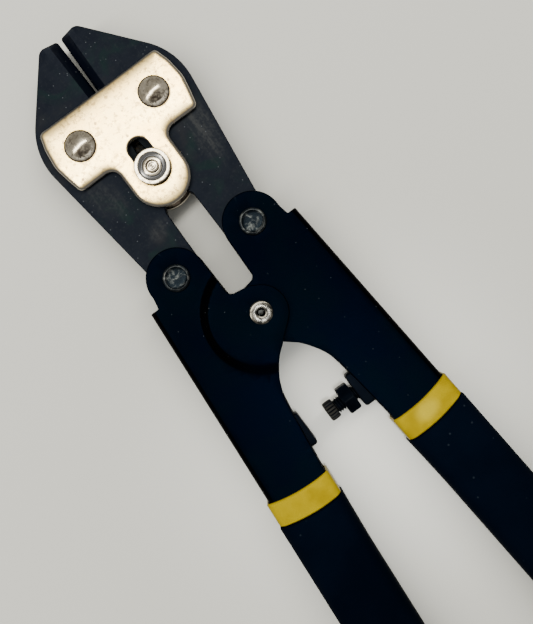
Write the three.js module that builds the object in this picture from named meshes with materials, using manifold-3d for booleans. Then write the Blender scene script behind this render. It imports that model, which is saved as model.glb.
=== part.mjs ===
// Compact bolt cutters lying flat: two jaws between T-shaped link plates, each jaw worked by a
// folded sheet-steel handle through an ear rivet, the handles crossing at a hollow rivet.
// Millimetres, +Y to the jaw tips, +Z up. Shapes are drawn for the right side about the middle
// plane of the tool; the left side is the same piece turned half a turn about the tool's axis.
import * as THREE from "three";
import { mergeVertices } from "three/addons/utils/BufferGeometryUtils.js";
import Module from "manifold-3d";

const wasm = await Module();
wasm.setup();

// Driving dimensions. Y is counted from the line through the two jaw rivets.
const JAW_THICKNESS = 5;
const JAW_TIP_Y = 25;
const JAW_PIVOT_X = 11;
const EDGE_BEVEL = 2.3; // width of the ground bevel beside each cutting edge
const EDGE_LAND = 0.3; // thickness left at the cutting edge
const EAR_X = 11.45;
const EAR_Y = -39.2;
const EAR_RADIUS = 7.45;
const CROSS_Y = -58.05; // the hollow rivet where the handles cross
const TONGUE_RADIUS = 6.75;
const SHEET = 1.6; // handle sheet
const FLANGE_Z = JAW_THICKNESS / 2 + 0.2; // inner face of the flat flanges
const TONGUE_LIFT = 1.8; // how far the joggled tongue steps out
const JOGGLE_IN = 12.8; // radii of the joggle's ramp about the crossing rivet
const JOGGLE_OUT = 14.8;
const LINK_Z = JAW_THICKNESS / 2 + 0.2;
const LINK_THICKNESS = 2.2;
const GUIDE_Y = -14.45;
const GUIDE_RADIUS = 2.6;
const HANDLE_ANGLE = THREE.MathUtils.degToRad(4.6); // splay of each handle
const HANDLE_X = 21.8; // outer corner where the folded edge starts
const HANDLE_Y = -42.5;
const HANDLE_WIDTH = 15.75;
const HANDLE_LENGTH = 136.5;
const FOLD_RADIUS = 1.9;
const BAND_START = 54.2; // distances along the handle from the start of the fold
const BAND_LENGTH = 6.3;
const BAND_WIDTH = 17;
const BAND_HALF_HEIGHT = 5.5;
const GRIP_LENGTH = 83.4;
const GRIP_WIDTH = 17.6;
const REST_HEIGHT = 6.6; // middle plane above the surface the tool lies on
const STOP_Y = -87.5; // axis of the adjusting screw
const BLOCK_END = 22.6; // how far the two blocks reach into the channels
const FIT = 0.15; // gap between a sleeve and the sheet inside it
const ARC_ERROR = 0.03; // how far a drawn arc may lie from the true one

const colour = (hex) => new THREE.Color(hex);
const MATERIALS = {
  phosphated_steel: { color: colour("#22282f"), roughness: 0.55, metalness: 0.8 },
  nickel_plate: { color: colour("#f3ead8"), roughness: 0.32, metalness: 0.9 },
  rivet_steel: { color: colour("#b9ac98"), roughness: 0.35, metalness: 0.95 },
  dark_rivet: { color: colour("#565a60"), roughness: 0.45, metalness: 0.9 },
  handle_paint: { color: colour("#0a111c"), roughness: 0.5, metalness: 0.3 },
  band_plastic: { color: colour("#f0ce0c"), roughness: 0.35, metalness: 0 },
  grip_rubber: { color: colour("#08090d"), roughness: 0.85, metalness: 0 },
  black_oxide: { color: colour("#17191c"), roughness: 0.5, metalness: 0.7 },
};

// Geometry helpers.

// Points along an arc, close enough together to stay within ARC_ERROR of it.
function arcPoints(x, y, radius, from, turn) {
  const step = 2 * Math.acos(1 - Math.min(ARC_ERROR / radius, 0.5));
  const count = Math.max(2, Math.ceil(Math.abs(turn) / step));
  return Array.from({ length: count + 1 }, (_, i) => {
    const angle = from + (turn * i) / count;
    return new THREE.Vector2(x + radius * Math.cos(angle), y + radius * Math.sin(angle));
  });
}

// The fillet of one corner, as points from the end of one side to the start of the next.
function filletPoints(previous, corner, next, radius) {
  const before = previous.clone().sub(corner).normalize();
  const after = next.clone().sub(corner).normalize();
  const half = Math.acos(before.dot(after)) / 2;
  const start = corner.clone().addScaledVector(before, radius / Math.tan(half));
  const toCentre = before.clone().add(after).normalize();
  const centre = corner.clone().addScaledVector(toCentre, radius / Math.sin(half));
  const turn = (Math.PI - 2 * half) * Math.sign(after.cross(before));
  return arcPoints(centre.x, centre.y, radius, start.sub(centre).angle(), turn);
}

// A closed outline through corners [x, y, radius]; a corner with no radius stays sharp.
function outlineOf(corners) {
  const places = corners.map(([x, y]) => new THREE.Vector2(x, y));
  const points = corners.flatMap(([, , radius], i) => {
    const next = places[(i + 1) % places.length];
    return radius ? filletPoints(places.at(i - 1), places[i], next, radius) : [places[i]];
  });
  return new THREE.Shape(points);
}

function circlePath(x, y, radius) {
  return new THREE.Path(arcPoints(x, y, radius, 0, -2 * Math.PI).slice(1));
}

// A flat piece between two heights, its edges rounded over by edge.
function plate(shape, bottom, top, edge = 0, bevelSegments = 1) {
  const geometry = new THREE.ExtrudeGeometry(shape, {
    depth: top - bottom - 2 * edge,
    bevelEnabled: edge > 0,
    bevelThickness: edge,
    bevelSize: edge,
    bevelOffset: -edge,
    bevelSegments,
    curveSegments: 8,
  });
  return geometry.translate(0, 0, bottom + edge);
}

// A solid turned about the vertical axis from [radius, z] pairs.
function turned(profile, segments = 24, x = 0, y = 0) {
  const points = profile.map(([radius, z]) => new THREE.Vector2(radius, z));
  return new THREE.LatheGeometry(points, segments).rotateX(Math.PI / 2).translate(x, y, 0);
}

function pin(radius, halfLength, x, y, segments = 24) {
  const profile = [[0, -halfLength], [radius, -halfLength], [radius, halfLength], [0, halfLength]];
  return turned(profile, segments, x, y);
}

function solid(geometry) {
  const bare = geometry.clone();
  bare.deleteAttribute("normal");
  bare.deleteAttribute("uv");
  const merged = mergeVertices(bare, 1e-4);
  const triangles = [];
  for (let i = 0; i < merged.index.count; i += 3) {
    const [a, b, c] = merged.index.array.slice(i, i + 3);
    if (a !== b && b !== c && c !== a) triangles.push(a, b, c);
  }
  return new wasm.Manifold(
    new wasm.Mesh({
      numProp: 3,
      vertProperties: new Float32Array(merged.attributes.position.array),
      triVerts: new Uint32Array(triangles),
    }),
  );
}

function geometryOf(manifold) {
  const { vertProperties, triVerts } = manifold.getMesh();
  const geometry = new THREE.BufferGeometry();
  geometry.setAttribute("position", new THREE.BufferAttribute(new Float32Array(vertProperties), 3));
  geometry.setIndex(new THREE.BufferAttribute(new Uint32Array(triVerts), 1));
  const flat = geometry.toNonIndexed();
  flat.computeVertexNormals();
  return flat;
}

function cut(geometry, ...tools) {
  return geometryOf(tools.reduce((body, tool) => body.subtract(solid(tool)), solid(geometry)));
}

function join(...geometries) {
  const [first, ...rest] = geometries.map(solid);
  return geometryOf(rest.reduce((body, other) => body.add(other), first));
}

const turnedOver = (geometry) => geometry.clone().rotateY(Math.PI);

// A point at a distance along the handle from the fold's start, and inwards from its outer edge.
function onHandle(along, inward) {
  const sin = Math.sin(HANDLE_ANGLE);
  const cos = Math.cos(HANDLE_ANGLE);
  return [HANDLE_X + along * sin - inward * cos, HANDLE_Y - along * cos - inward * sin];
}

// Extrudes a section drawn as [sideways, z] straight from one point to another.
function sweep(section, from, to, edge = 0) {
  const start = new THREE.Vector3(...from);
  const along = new THREE.Vector3(...to).sub(start);
  const length = along.length();
  along.normalize();
  const up = new THREE.Vector3(0, 0, 1);
  const sideways = new THREE.Vector3().crossVectors(up, along);
  const basis = new THREE.Matrix4().makeBasis(sideways, up, along).setPosition(start);
  return plate(section, 0, length, edge, 2).applyMatrix4(basis);
}

// The same along the handle, between two distances; sideways 0 is the handle's outer edge and
// inwards is negative.
function alongHandle(section, from, to, edge = 0) {
  return sweep(section, [...onHandle(from, 0), 0], [...onHandle(to, 0), 0], edge);
}

function roundedBox(left, right, halfHeight, radius) {
  return outlineOf([
    [left, -halfHeight, radius],
    [right, -halfHeight, radius],
    [right, halfHeight, radius],
    [left, halfHeight, radius],
  ]);
}

// Jaws.

function jawOutline() {
  const shape = outlineOf([
    [0.56, JAW_TIP_Y, 0.6],
    [0.05, 1.4],
    [0.2, 0.2],
    [1.35, -11.25, 0.3],
    [4.2, GUIDE_Y + 3.2, 2],
    [4.2, GUIDE_Y - 3.2, 1.4],
    [2.3, GUIDE_Y - 3.2, 0.3],
    [2.35, -21.4, 1],
    [4.1, -24.8, 1],
    [4.4, -45.8, 3.5],
    [15.15, -45.2, 5],
    [21.7, 5.4, 17],
    [5.48, JAW_TIP_Y, 2.4],
  ]);
  shape.holes.push(circlePath(JAW_PIVOT_X, 0, 3), circlePath(EAR_X, EAR_Y, 2.6));
  return shape;
}

// The wedge ground off one face beside the cutting edge, side 1 for the top and -1 underneath.
function bevelWedge(side) {
  const land = EDGE_LAND / 2;
  const rise = (JAW_THICKNESS / 2 - land) / EDGE_BEVEL;
  const corners = [
    [-1, side * (land - rise)],
    [EDGE_BEVEL + 0.5, side * (JAW_THICKNESS / 2 + 0.5 * rise)],
    [-1, side * (JAW_THICKNESS / 2 + 0.5 * rise)],
  ];
  return sweep(outlineOf(side > 0 ? corners : corners.reverse()), [0.57, 25, 0], [0.06, 1.4, 0]);
}

function jaw() {
  const half = JAW_THICKNESS / 2;
  return cut(plate(jawOutline(), -half, half, 0.2), bevelWedge(1), bevelWedge(-1));
}

// Link plates and the turned pieces at the head.

function linkOutline() {
  const right = [
    [17.3, 8.3, 1.5],
    [18.5, 4.4, 9],
    [19.1, -0.7, 9],
    [18.3, -5, 9],
    [17.4, -8.9, 1.5],
    [7.5, -8.9, 2.6],
    [7.45, -24.45, 7.4],
  ];
  const left = right.map(([x, y, radius]) => [-x, y, radius]).reverse();
  return outlineOf([...right, ...left]);
}

function linkPlate() {
  const slot = outlineOf([
    [2.75, -6.2, 2.7],
    [-2.75, -6.2, 2.7],
    [-2.75, -18.35, 2.7],
    [2.75, -18.35, 2.7],
  ]);
  return cut(
    plate(linkOutline(), LINK_Z, LINK_Z + LINK_THICKNESS, 0.4),
    plate(slot, 0, 2 * LINK_Z + LINK_THICKNESS),
    pin(2.95, 9, JAW_PIVOT_X, 0),
    pin(2.95, 9, -JAW_PIVOT_X, 0),
  );
}

// Mirrors the upper half of a profile, so both ends of a rivet are alike.
function twoEnded(upper) {
  const lower = upper.map(([radius, z]) => [radius, -z]);
  return [...lower, ...upper.reverse()];
}

function jawRivet() {
  const seat = LINK_Z + LINK_THICKNESS + 0.05;
  const dome = [0.7, 1.7, 2.6, 3.3].map((r) => [r, REST_HEIGHT - 0.112 * (r * r - 0.49)]);
  const head = [[0, REST_HEIGHT], ...dome, [3.9, seat + 0.15], [3.9, seat], [2.7, seat]];
  return turned(twoEnded(head), 26, JAW_PIVOT_X, 0);
}

function guidePin() {
  const collar = LINK_Z + LINK_THICKNESS + 0.1;
  const end = [[0, 6.2], [0.2, 6.2], [0.4, 6.35], [1.15, 6.35], [1.4, 6.2], [1.4, collar]];
  return turned(twoEnded([...end, [GUIDE_RADIUS, collar]]), 24, 0, GUIDE_Y);
}

// A dished washer riveted over the end of the guide pin.
function guideCollar() {
  const seat = LINK_Z + LINK_THICKNESS + 0.15;
  const profile = [
    [1.55, seat],
    [3.75, seat],
    [3.75, 5.45],
    [4.4, 5.6],
    [4.4, 6.1],
    [4.15, 6.35],
    [3.45, 6.35],
    [3.2, 6],
    [2.4, 5.9],
    [2.2, 6.1],
    [1.55, 6.1],
    [1.55, seat],
  ];
  return turned(profile, 28, 0, GUIDE_Y);
}

// Handles.

function flangeOutline() {
  const shape = new THREE.Shape();
  const [tailX, tailY] = onHandle(HANDLE_LENGTH, 2.4);
  const [stepX, stepY] = onHandle(0, 2.3);
  shape.moveTo(tailX, tailY);
  shape.lineTo(stepX, stepY);
  shape.quadraticCurveTo(19.15, -41.9, EAR_X + EAR_RADIUS, EAR_Y - 0.4);
  for (const point of arcPoints(EAR_X, EAR_Y, EAR_RADIUS, 0, Math.PI)) shape.lineTo(point.x, point.y);
  shape.lineTo(3.75, -48.6);
  shape.quadraticCurveTo(3.7, -50.4, 1.9, -50.5);
  shape.lineTo(-0.3, -50.9);
  shape.quadraticCurveTo(-1.6, -51.15, -2.7, -51.8);
  const tongue = arcPoints(0, CROSS_Y, TONGUE_RADIUS, ...[114, 116.5].map(THREE.MathUtils.degToRad));
  for (const point of tongue) shape.lineTo(point.x, point.y);
  shape.lineTo(0, -66.8);
  shape.splineThru([
    new THREE.Vector2(3, -69.4),
    new THREE.Vector2(5, -72),
    new THREE.Vector2(6.5, -74.6),
    new THREE.Vector2(7.6, -77.6),
    new THREE.Vector2(8.3, -81.6),
  ]);
  shape.lineTo(...onHandle(52.8, HANDLE_WIDTH));
  shape.lineTo(...onHandle(HANDLE_LENGTH, HANDLE_WIDTH));
  shape.closePath();
  return shape;
}

// The folded edge: the web with both bends and a short run of each flange.
function foldSection() {
  const outer = FLANGE_Z + SHEET;
  return outlineOf([
    [0, -outer, FOLD_RADIUS],
    [0, outer, FOLD_RADIUS],
    [-3, outer],
    [-3, FLANGE_Z],
    [-SHEET, FLANGE_Z, 0.4],
    [-SHEET, -FLANGE_Z, 0.4],
    [-3, -FLANGE_Z],
    [-3, -outer],
  ]);
}

// The lower flange as a disc about the crossing rivet, stepping outwards at the joggle.
function joggledSheet() {
  const inner = -FLANGE_Z;
  const outer = inner - SHEET;
  const rim = 2 * HANDLE_LENGTH;
  const profile = [
    [0, outer - TONGUE_LIFT],
    [JOGGLE_IN, outer - TONGUE_LIFT],
    [JOGGLE_OUT, outer],
    [rim, outer],
    [rim, inner],
    [JOGGLE_OUT - 0.4, inner],
    [JOGGLE_IN - 0.4, inner - TONGUE_LIFT],
    [0, inner - TONGUE_LIFT],
  ];
  return turned(profile, 64, 0, CROSS_Y);
}

function handleFrame(pivotHole) {
  const flange = flangeOutline();
  const upper = plate(flange, FLANGE_Z, FLANGE_Z + SHEET);
  const lower = solid(plate(flange, -9, -1)).intersect(solid(joggledSheet()));
  const fold = alongHandle(foldSection(), 0, HANDLE_LENGTH);
  return cut(
    join(upper, geometryOf(lower), fold),
    pin(2.55, 9, EAR_X, EAR_Y),
    pin(pivotHole, 9, 0, CROSS_Y),
  );
}

function earRivet() {
  const seat = FLANGE_Z + SHEET + 0.05;
  const head = [[0, 4.85], [2.1, 4.9], [2.6, 5.15], [3.05, 5.15], [3.3, 4.9], [3.3, seat], [2.3, seat]];
  return turned(twoEnded(head), 24, EAR_X, EAR_Y);
}

function crossingRivet() {
  const seat = FLANGE_Z + SHEET + TONGUE_LIFT + 0.05;
  const upper = [[0.75, 6.3], [1.2, 6.55], [2.4, 6.5], [2.85, 6.25], [2.85, seat], [2.2, seat]];
  const profile = twoEnded(upper);
  return turned([...profile, profile[0]], 24, 0, CROSS_Y);
}

// A steel block held inside the channel, its face standing proud of the flanges.
function stopBlock(face) {
  const [x, y] = [face, STOP_Y + 0.45];
  const outline = outlineOf([
    [x, y + 4.65, 0.8],
    [x, y - 4.65, 0.8],
    [BLOCK_END, y - 4.65, 0.4],
    [BLOCK_END, y + 4.65, 0.4],
  ]);
  return plate(outline, -2.5, 2.5, 0.25);
}

function screwBlock(face) {
  const hole = pin(2.35, 12, 0, 0, 20).rotateY(Math.PI / 2).translate(14, STOP_Y, 0);
  return cut(stopBlock(face), hole);
}

const alongX = (geometry, x) => geometry.rotateY(Math.PI / 2).translate(x, STOP_Y, 0);

function adjustingScrew() {
  const knurl = new THREE.Shape();
  const ribs = 18;
  for (let i = 0; i < 2 * ribs; i++) {
    const angle = (Math.PI * i) / ribs;
    const radius = i % 2 ? 2.35 : 2.62;
    knurl[i ? "lineTo" : "moveTo"](radius * Math.cos(angle), radius * Math.sin(angle));
  }
  const head = plate(knurl, 0, 2.6, 0.25);
  const thread = [[0, 2], [1.6, 2]];
  for (let z = 2.8; z < 5; z += 0.7) thread.push([1.95, z], [1.95, z + 0.2], [1.62, z + 0.4]);
  thread.push([1.95, 5.6], [1.95, 14.4], [1.5, 14.9], [0, 14.9]);
  return alongX(join(head, turned(thread, 20)), -1.8);
}

function lockNut() {
  const hexagon = new THREE.Shape();
  const corner = 3.5 / Math.cos(Math.PI / 6);
  for (let i = 0; i < 6; i++) {
    const angle = (Math.PI / 3) * i;
    hexagon[i ? "lineTo" : "moveTo"](corner * Math.cos(angle), corner * Math.sin(angle));
  }
  const chamfer = turned([[0, 0], [3.5, 0], [4.3, 0.45], [4.3, 2.75], [3.5, 3.2], [0, 3.2]], 36);
  const blank = solid(plate(hexagon, 0, 3.2)).intersect(solid(chamfer));
  return alongX(cut(geometryOf(blank), pin(2.3, 6, 0, 0, 20)), 2.9);
}

// Sleeves over the handle sheet.

function sheetPocket(from) {
  const halfHeight = FLANGE_Z + SHEET + FIT;
  const section = roundedBox(-HANDLE_WIDTH - FIT, FIT, halfHeight, 0.4);
  return alongHandle(section, from, HANDLE_LENGTH + 1);
}

function sleeve(width, halfHeight, corner, from, to, edge) {
  const spare = (width - HANDLE_WIDTH) / 2;
  const section = roundedBox(-HANDLE_WIDTH - spare, spare, halfHeight, corner);
  return cut(alongHandle(section, from, to, edge), sheetPocket(from - 5));
}

const band = () => {
  return sleeve(BAND_WIDTH, BAND_HALF_HEIGHT, 2.6, BAND_START, BAND_START + BAND_LENGTH, 0.35);
};

function grip() {
  const start = BAND_START + BAND_LENGTH + FIT;
  return sleeve(GRIP_WIDTH, REST_HEIGHT, 3.4, start, start + GRIP_LENGTH, 1.2);
}

// The assembly.

const tool = new THREE.Group();

function add(name, geometry, material) {
  const mesh = new THREE.Mesh(geometry, new THREE.MeshStandardMaterial(MATERIALS[material]));
  mesh.name = name;
  tool.add(mesh);
}

// Adds a piece drawn for the right side and its twin on the left.
function addPair(name, geometry, material) {
  add("right_" + name, geometry, material);
  add("left_" + name, turnedOver(geometry), material);
}

addPair("jaw", jaw(), "phosphated_steel");
addPair("jaw_rivet", jawRivet(), "rivet_steel");
add("front_link_plate", linkPlate(), "nickel_plate");
add("rear_link_plate", turnedOver(linkPlate()), "nickel_plate");
add("guide_pin", guidePin(), "rivet_steel");
add("front_guide_collar", guideCollar(), "rivet_steel");
add("rear_guide_collar", turnedOver(guideCollar()), "rivet_steel");
add("right_handle_frame", handleFrame(2.65), "handle_paint");
add("left_handle_frame", turnedOver(handleFrame(2.4)), "handle_paint");
addPair("ear_rivet", earRivet(), "dark_rivet");
add("crossing_rivet", crossingRivet(), "rivet_steel");
add("left_bumper_block", turnedOver(stopBlock(7.7)), "black_oxide");
add("right_screw_block", screwBlock(6.9), "black_oxide");
add("adjusting_screw", adjustingScrew(), "black_oxide");
add("lock_nut", lockNut(), "black_oxide");
addPair("band", band(), "band_plastic");
addPair("grip", grip(), "grip_rubber");

const extent = new THREE.Box3().setFromObject(tool, true);
tool.position.y = -(extent.min.y + extent.max.y) / 2;
tool.position.z = REST_HEIGHT;

const assembly = new THREE.Group();
assembly.add(tool);

export default assembly;
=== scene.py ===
"""Compact bolt cutters lying flat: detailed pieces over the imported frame, seen from straight above.

Shapes are drawn in millimetres about the tool's middle plane, with Y counted from the line through the
jaw rivets, as in the CAD source. The right side is drawn, and the left side is the same piece turned
half a turn about the tool's long axis.
"""

import math

import bmesh
import bpy
import numpy as np
from mathutils import Matrix, Quaternion, Vector, noise
from mathutils.geometry import delaunay_2d_cdt

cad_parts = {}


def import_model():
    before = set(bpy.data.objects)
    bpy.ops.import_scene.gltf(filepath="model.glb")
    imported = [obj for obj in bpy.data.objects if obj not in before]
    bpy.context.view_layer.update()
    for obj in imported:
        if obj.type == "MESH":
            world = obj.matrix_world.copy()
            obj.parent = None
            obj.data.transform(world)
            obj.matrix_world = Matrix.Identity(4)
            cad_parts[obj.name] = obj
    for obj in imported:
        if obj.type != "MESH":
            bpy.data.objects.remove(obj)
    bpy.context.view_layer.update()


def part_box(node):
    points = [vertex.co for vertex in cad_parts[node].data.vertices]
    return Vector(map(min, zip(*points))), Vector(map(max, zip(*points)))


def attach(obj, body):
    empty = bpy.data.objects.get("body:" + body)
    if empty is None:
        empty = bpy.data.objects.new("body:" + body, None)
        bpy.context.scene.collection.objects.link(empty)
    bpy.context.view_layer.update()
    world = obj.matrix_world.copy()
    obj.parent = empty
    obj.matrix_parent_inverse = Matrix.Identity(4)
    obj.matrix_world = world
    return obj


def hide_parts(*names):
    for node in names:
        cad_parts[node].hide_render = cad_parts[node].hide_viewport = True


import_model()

MM = 0.001

# Driving dimensions, as in the CAD source.
JAW_HALF = 2.5
JAW_TIP_Y = 25.0
JAW_PIVOT_X = 11.0
JAW_BORE = 3.0
EDGE_BEVEL = 2.3
EDGE_LAND = 0.15
EDGE_HEEL = (0.05, 1.4)  # where the cutting edge starts, at the rear
EDGE_SLANT = 0.49 / 22.6  # how fast it leaves the middle towards the tip
EAR = (11.45, -39.2)
EAR_BORE = 2.6
EAR_RADIUS = 7.45
CROSS_Y = -58.05
TONGUE_RADIUS = 6.75
SHEET = 1.6
FLANGE_OUT = JAW_HALF + 0.2 + SHEET
TONGUE_LIFT = 1.8
JOGGLE = (12.6, 15.0)  # where the lower flange steps outwards, as radii about the crossing
LINK_Z = JAW_HALF + 0.2
LINK_THICKNESS = 2.2
GUIDE_Y = -14.45
GUIDE_RADIUS = 2.6
HANDLE_ANGLE = math.radians(4.6)
HANDLE_CORNER = (21.8, -42.5)
HANDLE_WIDTH = 15.75
HANDLE_LENGTH = 136.5
FOLD_RADIUS = 1.9
BAND_START = 54.2
BAND_LENGTH = 6.3
BAND_WIDTH = 17.0
BAND_HALF_HEIGHT = 5.5
GRIP_LENGTH = 83.4
GRIP_WIDTH = 17.6
REST_HEIGHT = 6.6
STOP_Y = -87.5
BLOCK_END = 22.6
FIT = 0.15

ARC_ERROR = 0.004  # how far an arc's sides may fall inside the true arc
INNER_MARGIN = 0.12  # how near a face's own points may come to its rim
SHARP = math.radians(32)  # edges that turn more than this aren't smoothed

rivet_low, rivet_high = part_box("right_jaw_rivet")
ORIGIN_Y = (rivet_low[1] + rivet_high[1]) / 2 / MM


# Outlines.


def arc(x, y, radius, start, turn):
    """Points along an arc, within ARC_ERROR of the true one."""
    step = 2 * math.acos(1 - min(ARC_ERROR / radius, 0.5))
    count = max(3, math.ceil(abs(turn) / step))
    angles = start + turn * np.arange(count + 1) / count
    return np.column_stack([x + radius * np.cos(angles), y + radius * np.sin(angles)])


def circle(x, y, radius):
    """A hole's loop, clockwise."""
    return arc(x, y, radius, 0, -2 * math.pi)[:-1]


def fillet(previous, corner, following, radius):
    before = (previous - corner) / np.linalg.norm(previous - corner)
    after = (following - corner) / np.linalg.norm(following - corner)
    half = math.acos(np.clip(before @ after, -1, 1)) / 2
    start = corner + before * radius / math.tan(half)
    inward = (before + after) / np.linalg.norm(before + after)
    centre = corner + inward * radius / math.sin(half)
    turn = math.pi - 2 * half
    if after[0] * before[1] - after[1] * before[0] < 0:
        turn = -turn
    return arc(*centre, radius, math.atan2(*(start - centre)[::-1]), turn)


def outline(corners):
    """A closed loop through (x, y, radius) corners."""
    places = [np.array(c[:2], float) for c in corners]
    runs = []
    for i, corner in enumerate(corners):
        radius = corner[2] if len(corner) > 2 else 0
        if radius:
            following = places[(i + 1) % len(places)]
            runs.append(fillet(places[i - 1], places[i], following, radius))
        else:
            runs.append(places[i][None, :])
    return np.vstack(runs)


def spaced(loop, longest):
    """The same loop with no side longer than longest."""
    runs = []
    for here, following in zip(loop, np.roll(loop, -1, axis=0)):
        parts = max(1, math.ceil(np.linalg.norm(following - here) / longest))
        share = np.arange(parts)[:, None] / parts
        runs.append(here + (following - here) * share)
    return np.vstack(runs)


def counter_clockwise(loop):
    x, y = loop.T
    area = x @ np.roll(y, -1) - y @ np.roll(x, -1)
    return loop if area > 0 else loop[::-1]


def moved_in(loop, distance):
    """The loop moved into the material, which lies to its left."""
    back = loop - np.roll(loop, 1, axis=0)
    ahead = np.roll(loop, -1, axis=0) - loop
    sides = [np.column_stack([-d[:, 1], d[:, 0]]) for d in (back, ahead)]
    sides = [s / np.linalg.norm(s, axis=1)[:, None] for s in sides]
    mitre = sides[0] + sides[1]
    mitre /= np.linalg.norm(mitre, axis=1)[:, None]
    reach = 1 / np.clip((mitre * sides[0]).sum(axis=1), 0.5, 1)
    return loop + mitre * (reach * distance)[:, None]


def inside(points, loops, margin=0.0):
    """Which points lie in the material of the loops, and at least margin from every loop."""
    x, y = points.T
    crossings = np.zeros(len(points), int)
    clear = np.ones(len(points), bool)
    for loop in loops:
        for (ax, ay), (bx, by) in zip(loop, np.roll(loop, -1, axis=0)):
            between = (ay > y) != (by > y)
            if ay != by:
                crossings += between & (x < ax + (y - ay) * (bx - ax) / (by - ay))
            if margin:
                span = np.array([bx - ax, by - ay])
                share = np.clip((points - [ax, ay]) @ span / (span @ span), 0, 1)
                gap = np.linalg.norm(points - [ax, ay] - share[:, None] * span, axis=1)
                clear &= gap > margin
    return (crossings % 2 == 1) & clear


# Meshes.


def to_row(points):
    points = np.asarray(points, float)
    return (points + [0, ORIGIN_Y, REST_HEIGHT]) * MM


def mesh_of(name, points, faces):
    """A closed mesh, its faces out, smooth except at real edges."""
    mesh = bpy.data.meshes.new(name)
    mesh.from_pydata(to_row(points).tolist(), [], faces)
    work = bmesh.new()
    work.from_mesh(mesh)
    bmesh.ops.remove_doubles(work, verts=work.verts, dist=2e-7)
    bmesh.ops.recalc_face_normals(work, faces=work.faces)
    work.to_mesh(mesh)
    work.free()
    mesh.shade_smooth()
    mesh.set_sharp_from_angle(angle=SHARP)
    return mesh


def slab(loops, thickness, edges, place, inner=None, rounds=4):
    """A sheet with rounded edges: points and faces.

    loops hold the outer loop first. edges gives each loop's edge radius. place turns x, y and the depth
    below the upper face into 3-D points. inner holds further points for the two faces.
    """
    points, faces, caps = [], [], []
    total = 0
    for loop, edge in zip(loops, edges):
        turn = np.linspace(0, math.pi / 2, rounds + 1)
        upper = [(edge * (1 - math.sin(a)), edge * (1 - math.cos(a))) for a in turn]
        rings = upper + [(offset, thickness - depth) for offset, depth in reversed(upper)]
        count = len(loop)
        for offset, depth in rings:
            ring = moved_in(loop, offset)
            points.append(place(*ring.T, np.full(count, depth)))
        for k in range(len(rings) - 1):
            a = total + k * count + np.arange(count)
            b = a + count
            faces += np.column_stack([a, b, np.roll(b, -1), np.roll(a, -1)]).tolist()
        caps.append((moved_in(loop, edge), total, total + (len(rings) - 1) * count))
        total += len(rings) * count
    flat = [cap for cap, _, _ in caps]
    top = np.concatenate([start + np.arange(len(cap)) for cap, start, _ in caps])
    bottom = np.concatenate([end + np.arange(len(cap)) for cap, _, end in caps])
    if inner is not None and len(inner):
        kept = inner[inside(inner, flat, INNER_MARGIN)]
        zero = np.zeros(len(kept))
        points.append(place(*kept.T, zero))
        points.append(place(*kept.T, zero + thickness))
        top = np.concatenate([top, total + np.arange(len(kept))])
        bottom = np.concatenate([bottom, total + len(kept) + np.arange(len(kept))])
        flat = flat + [kept]
    vertices = np.vstack(flat)
    sides, begin = [], 0
    for cap, _, _ in caps:
        ring = begin + np.arange(len(cap))
        sides += np.column_stack([ring, np.roll(ring, -1)]).tolist()
        begin += len(cap)
    made, _, triangles, origin, _, _ = delaunay_2d_cdt([Vector(v) for v in vertices], sides, [], 0, 1e-6)
    source = [ids[0] if ids else -1 for ids in origin]
    triangles = np.array([t for t in triangles if min(source[i] for i in t) >= 0])
    places = np.array(made)
    centres = places[triangles].mean(axis=1)
    triangles = triangles[inside(centres, [cap for cap, _, _ in caps])]
    source = np.array(source)
    faces += top[source[triangles]].tolist()
    faces += bottom[source[triangles]][:, ::-1].tolist()
    return np.vstack(points), faces


def tube_faces(rings, around, closed=False):
    """Faces joining each ring of points to the next, and the last to the first when closed."""
    faces = []
    for k in range(rings if closed else rings - 1):
        a = k * around + np.arange(around)
        b = (k + 1) % rings * around + np.arange(around)
        faces += np.column_stack([a, np.roll(a, -1), np.roll(b, -1), b]).tolist()
    return faces


def capped_tube(rings, around):
    """Faces of a tube with a flat cap over its first and its last ring."""
    last = (rings - 1) * around
    caps = [list(range(around))[::-1], list(range(last, last + around))]
    return tube_faces(rings, around) + caps


def level_ring(z, radius, angles):
    """A ring of points about the vertical axis, radius being one value or one for each angle."""
    return np.column_stack([radius * np.cos(angles), radius * np.sin(angles), np.full(len(angles), z)])


def full_turn(count):
    return 2 * math.pi * np.arange(count) / count


def lathe(profile, x=0.0, y=0.0, segments=72, wobble=0.0):
    """A solid turned about the vertical axis through x, y from (radius, z) pairs that start and end on
    the axis, or that close on themselves."""
    profile = np.array(profile, float)
    closed = np.allclose(profile[0], profile[-1])
    if closed:
        profile = profile[:-1]
    rings = len(profile)
    angles = full_turn(segments)
    points = np.vstack([level_ring(z, radius, angles) for radius, z in profile]) + [x, y, 0]
    if wobble:
        # Hammered or tumbled unevenness, always inwards so the piece keeps its size.
        for p in points:
            lump = 0.5 + 0.5 * noise.noise(Vector(p) * 0.9)
            p[2] -= math.copysign(wobble * lump, p[2])
    return points, tube_faces(rings, segments, closed)


def turned_over(points):
    return points * [-1, 1, -1]


def two_ended(upper):
    """A profile whose lower end mirrors the upper one."""
    return [(radius, -z) for radius, z in upper] + list(reversed(upper))


def rounded(start, end, corner, steps=6):
    """Quarter-round between two profile points, bulging towards corner."""
    share = np.linspace(0, math.pi / 2, steps + 1)
    start, end, corner = (np.array(p, float) for p in (start, end, corner))
    centre = start + end - corner
    return [tuple(centre + (start - centre) * math.cos(a) + (end - centre) * math.sin(a)) for a in share]


def on_handle(inward, along):
    """Tool x, y of points given inwards from the handle's outer edge and along it."""
    sin, cos = math.sin(HANDLE_ANGLE), math.cos(HANDLE_ANGLE)
    x = HANDLE_CORNER[0] + along * sin - inward * cos
    y = HANDLE_CORNER[1] - along * cos - inward * sin
    return x, y


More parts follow.
